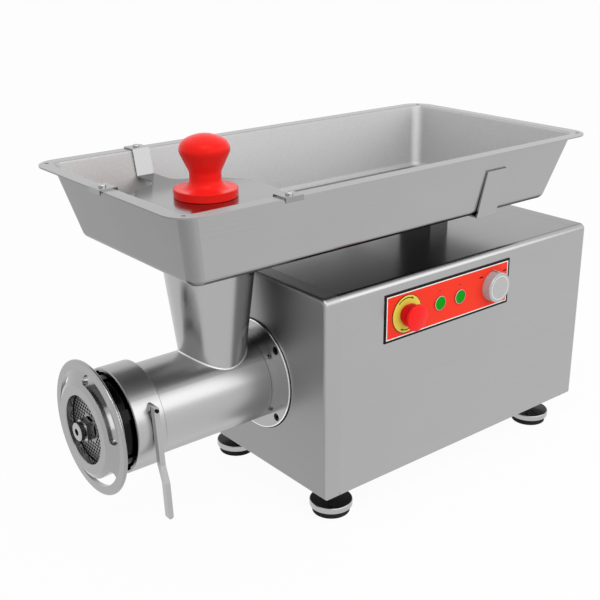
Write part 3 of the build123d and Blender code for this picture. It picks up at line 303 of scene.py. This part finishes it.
# Mincing head: a turned stainless barrel with a conical feed neck, carried on a round
# flange that is bolted to the gearbox through the end panel.
def middle_of(name):
    low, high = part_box(name)
    return (low + high) / 2


head_centre = middle_of("mounting_flange")
neck_centre = middle_of("feed_neck")
fine_pitch, fine_depth = 2200.0, 0.06
crown_facing, crown_shade_share = 0.65, 0.82
belly_facing, belly_fade, belly_shade_share = -0.5, 2.0, 0.3
head_steel = turned_steel(
    "head_steel", "X", head_centre, grey=0.48, rough=0.3, depth=fine_depth, pitch=fine_pitch
)
neck_steel = turned_steel(
    "neck_steel", "Z", neck_centre, grey=0.44, rough=0.24, depth=fine_depth, pitch=fine_pitch
)
skyward = parts_of(facing_of(head_steel))[2]
# Painted shade: the crown is darkened to 0.82 and the underside down to 0.3 of the colour.
paint_shade(head_steel, skyward > crown_facing, crown_shade_share)
belly = skyward.node("Clamp", {}, {0: (belly_facing - skyward) * belly_fade})
paint_shade(head_steel, belly, belly_shade_share)
dress(head_steel, "head_barrel", "lock_collar", "thrust_washer")
dress(neck_steel, "feed_neck")
flange_low, flange_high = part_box("mounting_flange")
flange_rim = 0.0016
flange_rim_highlight = (0.95, 0.95, 0.95)
flange_edge = (flange_high.z - flange_low.z) / 2 - flange_rim
flange_steel = turned_steel("flange_steel", "X", head_centre)
_, sideways, up = parts_of(place_on(flange_steel))
rise = up - head_centre.z
# Painted highlight: a pale ring along the flange's outer edge.
over_paint(flange_steel, sideways * sideways + rise * rise > flange_edge ** 2, flange_rim_highlight)
dress(flange_steel, "mounting_flange")
# Painted shade: the flange screws are painted near-black, for their dark recesses.
black_screw = brushed_steel("black_screw", "X", grey=0.015, rough=0.4)
dress(black_screw, "flange_screws")
bright_screw = brushed_steel("bright_screw", "Z", grey=0.5, rough=0.2)
dress(bright_screw, "casing_screws", "gearbox_screws")


# Sleeve joint: the barrel ends in a short turned sleeve beside the flange, set off by a fine
# line all round. Two small black set screws in its side lock it.
barrel_low, barrel_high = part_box("head_barrel")
barrel_radius = (barrel_high.z - barrel_low.z) / 2
sleeve_length = 0.0165
set_screw_inset = 0.008
set_screw_radius = 0.0017
set_screw_angles = (44.0, -34.0)
set_screw_black = (0.01, 0.01, 0.01)
joint_half = 0.0004
joint_grey = (0.12, 0.12, 0.12)
spot = place_on(head_steel)
along = parts_of(spot)[0]
over_paint(head_steel, near(along, barrel_high.x - sleeve_length, joint_half), joint_grey)
for angle in set_screw_angles:
    turn = math.radians(angle)
    centre = Vector((
        barrel_high.x - set_screw_inset,
        head_centre.y - barrel_radius * math.cos(turn),
        head_centre.z + barrel_radius * math.sin(turn),
    ))
    away = spot.node("VectorMath", {"operation": "DISTANCE"}, {0: spot, 1: centre}, output=1)
    over_paint(head_steel, away < set_screw_radius, set_screw_black)


# Weld: a stainless fillet bead joins the feed neck to the barrel; its pale grey is a painted highlight.
# It follows the saddle where the neck's cone meets the barrel and keeps its fine ripples.
def shaded_piece(name, shape, material, body):
    """A finished piece from a bmesh, smooth shaded, moving with a body."""
    bmesh.ops.recalc_face_normals(shape, faces=shape.faces)
    for face in shape.faces:
        face.smooth = True
    data = bpy.data.meshes.new(name)
    shape.to_mesh(data)
    shape.free()
    data.materials.append(material)
    piece = bpy.data.objects.new(name, data)
    bpy.context.scene.collection.objects.link(piece)
    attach(piece, body)


bead_radius = 0.0015
bead_steps = 360
bead_sides = 10
bead_ripple = 0.1
ripples = 120
tangent_step = 0.01
saddle_rounds = 8
neck_low, neck_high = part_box("feed_neck")
neck_top_radius = (neck_high.x - neck_low.x) / 2
neck_taper = 0.122


def saddle_point(turn):
    """A point where the cone of the neck meets the barrel."""
    reach = 0.0
    height = 0.0
    for _ in range(saddle_rounds):
        side = reach * math.sin(turn)
        height = head_centre.z + math.sqrt(barrel_radius ** 2 - side ** 2)
        reach = neck_top_radius - neck_taper * (neck_high.z - height)
    return Vector((neck_centre.x + reach * math.cos(turn), reach * math.sin(turn), height))


shape = bmesh.new()
rings = []
for step in range(bead_steps):
    turn = 2 * math.pi * step / bead_steps
    here = saddle_point(turn)
    ahead = (saddle_point(turn + tangent_step) - saddle_point(turn - tangent_step)).normalized()
    outward = Vector((math.cos(turn), math.sin(turn), 0.0))
    upright = ahead.cross(outward).normalized()
    outward = upright.cross(ahead)
    swell = bead_radius * (1.0 + bead_ripple * math.sin(ripples * turn))
    ring = []
    for side in range(bead_sides):
        angle = 2 * math.pi * side / bead_sides
        spoke = math.cos(angle) * outward + math.sin(angle) * upright
        ring.append(shape.verts.new(here + swell * spoke))
    rings.append(ring)
for step in range(bead_steps):
    ring, following = rings[step], rings[(step + 1) % bead_steps]
    for side in range(bead_sides):
        beside = (side + 1) % bead_sides
        shape.faces.new((ring[side], ring[beside], following[beside], following[side]))
weld_steel = turned_steel("weld_steel", "Z", neck_centre, grey=0.9, rough=0.35)
shaded_piece("neck_weld", shape, weld_steel, "frame")


# Cutting set: a cast and ground feed screw with a square pin, the cross knife on it
# and the drilled plate that the wheel clamps against the barrel.
plate_steel = turned_steel("plate_steel", "X", head_centre, grey=0.3, rough=0.3)
dress(plate_steel, "perforated_plate")
pin_steel = turned_steel("pin_steel", "X", head_centre, grey=0.42, rough=0.2)
dress(pin_steel, "auger", "cross_knife")


# Clamping wheel: a dished stainless disc with finger slots, welded to a hub whose lugs turn behind
# the stops in the barrel's collar. Behind its shoulder the hub is painted near-black as painted shade.
wheel_steel = turned_steel("wheel_steel", "X", head_centre, grey=0.36, rough=0.17)
hub_shoulder = 0.0272
hub_painted_shade = (0.012, 0.012, 0.013)
along = parts_of(place_on(wheel_steel))[0]
over_paint(wheel_steel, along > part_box("ring_wheel")[0].x + hub_shoulder, hub_painted_shade)
dress(wheel_steel, "ring_wheel")


# Lever: a joggled flat bar of stainless steel, cut and bent, with rounded ends. It hangs from a
# shoulder screw in a boss on the lock collar; the screw is painted near-black as painted shade.
lever_steel = brushed_steel("lever_steel", "Z", grey=0.46, rough=0.2)
dress(lever_steel, "lock_lever")
dress(black_screw, "lever_pin")


# Tray and cradle: a pressed pan of satin sheet with a folded rim, dropped into the neck
# by a short throat and carried at the rear by a bent strap on a post.
tray_steel, shader, place = start_finish("tray_steel")
shader.inputs["Metallic"].default_value = 1.0
endways, _, skyward = parts_of(facing_of(tray_steel))
wall_tilt = 0.1
tray_scratch = (8.0, 1100.0, 1100.0)
mottle_scale = (330.0, 330.0, 330.0)
mottle_tone, mottle_rough, mottle_depth = 0.14, 0.1, 0.6
tray_grey, tray_rough, tray_depth = 0.37, 0.15, 0.02
inner_painted_light, inner_rough = 0.03, 0.32
rim_shade_drop, end_shade_drop = 0.05, 0.17
under_facing, under_fade, under_shade_drop = -0.25, 2.5, 0.5
inner_wall = (skyward > wall_tilt) * (skyward < level_top)
upper_face = skyward > level_top
outer_end = endways.math("ABSOLUTE", endways) * (skyward < wall_tilt)
fine = stretched_noise(place, tray_scratch)
mottle = stretched_noise(place, mottle_scale, 4.0)
cloud = stretched_noise(place, sheet_cloud, 2.0)
# Painted light and shade: inner walls a little lighter; rim, outer ends and underside darker.
tone = fine * 0.04 + cloud * 0.04 + tray_grey + inner_wall * (mottle * mottle_tone + inner_painted_light)
tone = tone - upper_face * rim_shade_drop - outer_end * end_shade_drop
under_shade_mask = skyward.node("Clamp", {}, {0: (under_facing - skyward) * under_fade})
tone = tone * (1.0 - under_shade_mask * under_shade_drop)
feed(shader, "Base Color", place.node("CombineColor", {}, {0: tone, 1: tone, 2: tone}))
satin = fine * 0.08 + cloud * 0.05 + tray_rough
feed(shader, "Roughness", satin + inner_wall * (mottle * mottle_rough + inner_rough))
add_bump(shader, place, fine + inner_wall * mottle * mottle_depth, tray_depth, scratch_relief)
dress(tray_steel, "tray_pan")
cradle_steel = brushed_steel("cradle_steel", "Y", grey=0.42)
dress(cradle_steel, "cradle_strap")
# Painted shade: the post is written far darker than its strap, for the shade under the tray.
post_steel = turned_steel("post_steel", "Z", middle_of("cradle_post"), grey=0.11)
dress(post_steel, "cradle_post")
throat_steel = turned_steel("throat_steel", "Z", neck_centre)
dress(throat_steel, "tray_throat")


# Hand guard: a bright sheet disc over the throat with three arms bent up the tray's walls
# and hooked over the rim, where a screw holds each.
guard_steel = brushed_steel("guard_steel", "Y", grey=0.32, rough=0.17)
dress(guard_steel, "hand_guard")
cross_arm, cross_half = 0.0028, 0.0006
recess_shade_black = (0.02, 0.02, 0.02)
pan_screw = turned_steel("pan_screw", "Z", middle_of("guard_screws"), grey=0.5, rough=0.16)
guard_low, guard_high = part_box("guard_screws")
head_radius = 0.005
screw_places = [
    (guard_low.x + head_radius, 0.0),
    (neck_centre.x, guard_low.y + head_radius),
    (neck_centre.x, guard_high.y - head_radius),
]
across, sideways, _ = parts_of(place_on(pan_screw))
for x, y in screw_places:
    lengthways = near(across, x, cross_arm) * near(sideways, y, cross_half)
    crossways = near(across, x, cross_half) * near(sideways, y, cross_arm)
    # Painted shade: near-black crosses stand for the screws' recesses.
    over_paint(pan_screw, either(lengthways, crossways), recess_shade_black)
dress(pan_screw, "guard_screws")


# Pusher: a stem, flange and waisted knob moulded in one piece of red food-grade plastic.
# It stands loose in the guard's opening and rests on its flange.
red_tint = (1.0, 0.3, 0.25)
pusher_red = moulded("pusher_red", (0.95, 0.018, 0.014), rough=0.26, gloss=0.25, tint=red_tint)
dress(pusher_red, "pusher")


# Controls: a printed plate on the casing's side with an emergency stop, two push buttons
# and a turning selector, each held from behind by its lock nut.
panel_low, panel_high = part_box("control_plate")
border_width = 0.0034
line_width = 0.0016
print_black = (0.012, 0.012, 0.012)
line_white = (0.86, 0.86, 0.84)
red_low, red_high = (0.86, 0.042, 0.02), (0.93, 0.05, 0.025)
faint_red = (0.3, 0.015, 0.01)
film_gloss, film_rough = 0.06, 0.36
film_drift, film_grain = (11.0,) * 3, (1800.0,) * 3
film_depth, film_relief = 0.03, 0.0002
panel_print, shader, place = start_finish("panel_print")
shader.inputs["Specular IOR Level"].default_value = film_gloss
across, _, up = parts_of(place)
panel_middle = (panel_low + panel_high) / 2
panel_half = (panel_high - panel_low) / 2
to_end = panel_half.x - across.math("ABSOLUTE", across - panel_middle.x)
to_edge = panel_half.z - up.math("ABSOLUTE", up - panel_middle.z)
inset = to_end.math("MINIMUM", to_end, to_edge)
drift = stretched_noise(place, film_drift, 2.0)
feed(shader, "Base Color", mixed_colour(place, drift, red_low, red_high))
feed(shader, "Roughness", drift * 0.1 + film_rough)
add_bump(shader, place, stretched_noise(place, film_grain, 2.0), film_depth, film_relief)
over_paint(panel_print, inset < border_width + line_width, line_white)
over_paint(panel_print, inset < border_width, print_black)
dial = middle_of("selector_knob")
tick_rise = 0.0188
dial_shift, dial_tick, dial_tick_height = 0.0274, 0.0042, 0.0012
button_tick, button_tick_height = 0.0022, 0.0006
for shift in (-dial_shift, dial_shift):
    mark = near(across, dial.x + shift, dial_tick) * near(up, panel_middle.z + tick_rise, dial_tick_height)
    over_paint(panel_print, mark, print_black)
for name in ("button_one", "button_two"):
    level = near(up, panel_middle.z + tick_rise, button_tick_height)
    over_paint(panel_print, near(across, middle_of(name).x, button_tick) * level, faint_red)
dress(panel_print, "control_plate")


# Legend ring: a yellow plastic disc held under the emergency stop, printed with a dark
# outline and two plain arrows that show which way to twist.
legend_yellow = moulded("legend_yellow", (0.83, 0.7, 0.09), rough=0.45, gloss=0.12)
legend_middle = middle_of("estop_legend")
legend_low, legend_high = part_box("estop_legend")
legend_radius = (legend_high.x - legend_low.x) / 2
outline_width = 0.0008
arrow_circle, arrow_half = 0.0245, 0.0008
legend_ink = (0.03, 0.028, 0.02)
arrow_start, arrow_end = -0.75, 0.55
head_start, head_flare = 0.35, 0.01
across, _, up = parts_of(place_on(legend_yellow))
right = across - legend_middle.x
rise = up - legend_middle.z
radius = right.math("SQRT", right * right + rise * rise)
over_paint(legend_yellow, radius > legend_radius - outline_width, legend_ink)
for side in (1.0, -1.0):
    angle = right.math("ARCTAN2", right * side, rise * side)
    shaft = near(radius, arrow_circle, arrow_half) * (angle > arrow_start) * (angle < head_start)
    spread = (arrow_end - angle) * head_flare
    barb = near(radius, arrow_circle, spread) * (angle > head_start) * (angle < arrow_end)
    over_paint(legend_yellow, either(shaft, barb), legend_ink)
dress(legend_yellow, "estop_legend")


# Operators: a glossy red mushroom whose skirt is painted a darker red as painted shade, two green
# caps in thin steel bezels and a turned steel knob with a straight knurl and a groove cut into its face.
stop_red = moulded("stop_red", (0.93, 0.016, 0.016), rough=0.3, gloss=0.3, tint=red_tint)
skirt_shade_red = (0.62, 0.004, 0.012)
cap_depth = 0.0085
base_black = (0.03, 0.03, 0.03)
skirt_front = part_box("estop_head")[0].y + cap_depth
over_paint(stop_red, parts_of(place_on(stop_red))[1] > skirt_front, skirt_shade_red)
dress(stop_red, "estop_head")
# Painted shade: the stop's body takes the same darker red.
stop_base = moulded("stop_base", skirt_shade_red, rough=0.4, gloss=0.3, tint=red_tint)
over_paint(stop_base, parts_of(place_on(stop_base))[1] > panel_low.y, base_black)
dress(stop_base, "estop_body")
green_tint = (0.3, 1.0, 0.3)
button_green = moulded("button_green", (0.001, 0.33, 0.003), rough=0.35, gloss=0.08, tint=green_tint)
dress(button_green, "button_one", "button_two")
bezel_steel = brushed_steel("bezel_steel", "Z", grey=0.6, rough=0.2)
dress(bezel_steel, "button_bezels")
knob_steel = turned_steel("knob_steel", "Y", dial, grey=0.5, rough=0.2)
knob_low, knob_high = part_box("selector_knob")
knob_radius = (knob_high.x - knob_low.x) / 2
knurls = 72.0
knurl_cut = 0.3
knurl_rim = 0.0008
rim_paint, rim_rough = 0.85, 0.3
knob_rim_light, knurl_shade_grey, groove_highlight_grey = (0.6,) * 3, (0.25,) * 3, (0.85,) * 3
groove_radius, groove_half = 0.0185, 0.0005
across, _, up = parts_of(place_on(knob_steel))
right = across - dial.x
rise = up - panel_middle.z
radius = right.math("SQRT", right * right + rise * rise)
angle = right.math("ARCTAN2", right, rise)
rim = radius > knob_radius - knurl_rim
# Painted light: the knob's side is painted pale and less metallic; its knurl is painted shade.
over_paint(knob_steel, rim, knob_rim_light)
over_paint(knob_steel, rim * (right.math("SINE", angle * knurls) > knurl_cut), knurl_shade_grey)
shader = knob_steel.node_tree.nodes["Principled BSDF"]
smooth = Signal(rim.tree, shader.inputs["Roughness"].links[0].from_socket)
feed(shader, "Metallic", 1.0 - rim * rim_paint)
feed(shader, "Roughness", smooth + rim * rim_rough)
# Painted highlight: the face groove is a pale painted ring.
over_paint(knob_steel, near(radius, groove_radius, groove_half), groove_highlight_grey)
dress(knob_steel, "selector_knob")
switch_black = moulded("switch_black", (0.03, 0.03, 0.03), rough=0.5)
dress(switch_black, "estop_stem", "button_blocks", "selector_switch", "cable_gland")


# Drive: a fan-cooled motor behind a two-stage spur gearbox, both on folded stands inside
# the casing, with the contactor and the run capacitor beside them.
cast_metal = moulded("cast_metal", (0.4, 0.41, 0.42), rough=0.5, grain=500.0, depth=0.25)
gear_steel = turned_steel("gear_steel", "X", head_centre, grey=0.4, rough=0.3)
core_varnish = moulded("core_varnish", (0.2, 0.09, 0.03), rough=0.4, grain=700.0, depth=0.2)
stand_paint = moulded("stand_paint", (0.1, 0.11, 0.12), rough=0.45)
can_metal = brushed_steel("can_metal", "Z", grey=0.55)
dress(cast_metal, "gearbox_housing", "gearbox_cover", "motor_shell", "motor_end_bell")
dress(gear_steel, "output_gear", "output_shaft", "layshaft", "motor_rotor", "bearings")
dress(core_varnish, "motor_stator")
dress(stand_paint, "drive_stands")
dress(can_metal, "capacitor")
dress(switch_black, "contactor", "motor_fan")
dress(pad_rubber, "shaft_seal")


# Studio: a pale sheet of floor that keeps a soft shadow, in a white room. A long lamp at the
# operator's side and a square one above the camera light the steel.
floor_size = 12.0
shape = bmesh.new()
bmesh.ops.create_grid(shape, x_segments=1, y_segments=1, size=floor_size)
data = bpy.data.meshes.new("floor")
shape.to_mesh(data)
shape.free()
floor = bpy.data.objects.new("floor", data)
bpy.context.scene.collection.objects.link(floor)


def seen_rays(start):
    """1 for rays from the camera, from gloss and through glass, 0 for light on the object."""
    kinds = ("Is Camera Ray", "Is Glossy Ray", "Is Transmission Ray")
    camera, glossy, through = [start.node("LightPath", output=name) for name in kinds]
    return either(either(camera, glossy), through)


white_share = 0.95
paper_white = (0.86, 0.86, 0.86, 1.0)
material = bpy.data.materials.new("floor_paper")
material.use_nodes = True
tree = material.node_tree
tree.nodes.remove(tree.nodes["Principled BSDF"])
start = Signal(tree, None)
paper = start.node("BsdfDiffuse", {}, {"Color": paper_white})
glow = start.node("Emission", {}, {"Color": (1.0, 1.0, 1.0, 1.0), "Strength": 1.0})
surface = start.node("MixShader", {}, {0: seen_rays(start) * white_share, 1: paper, 2: glow})
tree.links.new(surface.socket, tree.nodes["Material Output"].inputs["Surface"])
data.materials.append(material)

room_light = 0.7
world = bpy.data.worlds.new("white_room")
bpy.context.scene.world = world
world.use_nodes = True
tree = world.node_tree
start = Signal(tree, None)
strength = room_light + seen_rays(start) * (1.0 - room_light)
tree.links.new(strength.socket, tree.nodes["Background"].inputs["Strength"])
tree.nodes["Background"].inputs["Color"].default_value = (1.0, 1.0, 1.0, 1.0)


def soft_lamp(name, place, target, size, power):
    lamp = bpy.data.lights.new(name, "AREA")
    lamp.shape = "RECTANGLE"
    lamp.size, lamp.size_y = size
    lamp.energy = power
    holder = bpy.data.objects.new(name, lamp)
    holder.location = place
    holder.rotation_euler = (Vector(target) - Vector(place)).to_track_quat("-Z", "Y").to_euler()
    bpy.context.scene.collection.objects.link(holder)


object_middle = (cad_low + cad_high) / 2
soft_lamp("key_lamp", place=(0.55, -1.75, 1.15), target=object_middle, size=(3.0, 1.2), power=12.5)
soft_lamp("front_lamp", place=(-0.65, -0.95, 2.25), target=object_middle, size=(1.2, 1.2), power=13.0)

camera_place = Vector((-0.95995, -1.1127, 0.8338))
camera_yaw, camera_pitch, camera_roll = (math.radians(a) for a in (38.88, 20.72, -0.41))
forward = Vector((
    math.sin(camera_yaw) * math.cos(camera_pitch),
    math.cos(camera_yaw) * math.cos(camera_pitch),
    -math.sin(camera_pitch),
))
level = Vector((math.cos(camera_yaw), -math.sin(camera_yaw), 0.0))
above = level.cross(forward)
right = level * math.cos(camera_roll) + above * math.sin(camera_roll)
upward = above * math.cos(camera_roll) - level * math.sin(camera_roll)
camera = bpy.data.objects.new("camera", bpy.data.cameras.new("camera"))
camera.data.sensor_width = 36.0
camera.data.lens = 60.07
turn = Matrix((right, upward, -forward)).transposed().to_4x4()
camera.matrix_world = Matrix.Translation(camera_place) @ turn
bpy.context.scene.collection.objects.link(camera)
bpy.context.scene.camera = camera
bpy.context.scene.view_settings.view_transform = "Standard"
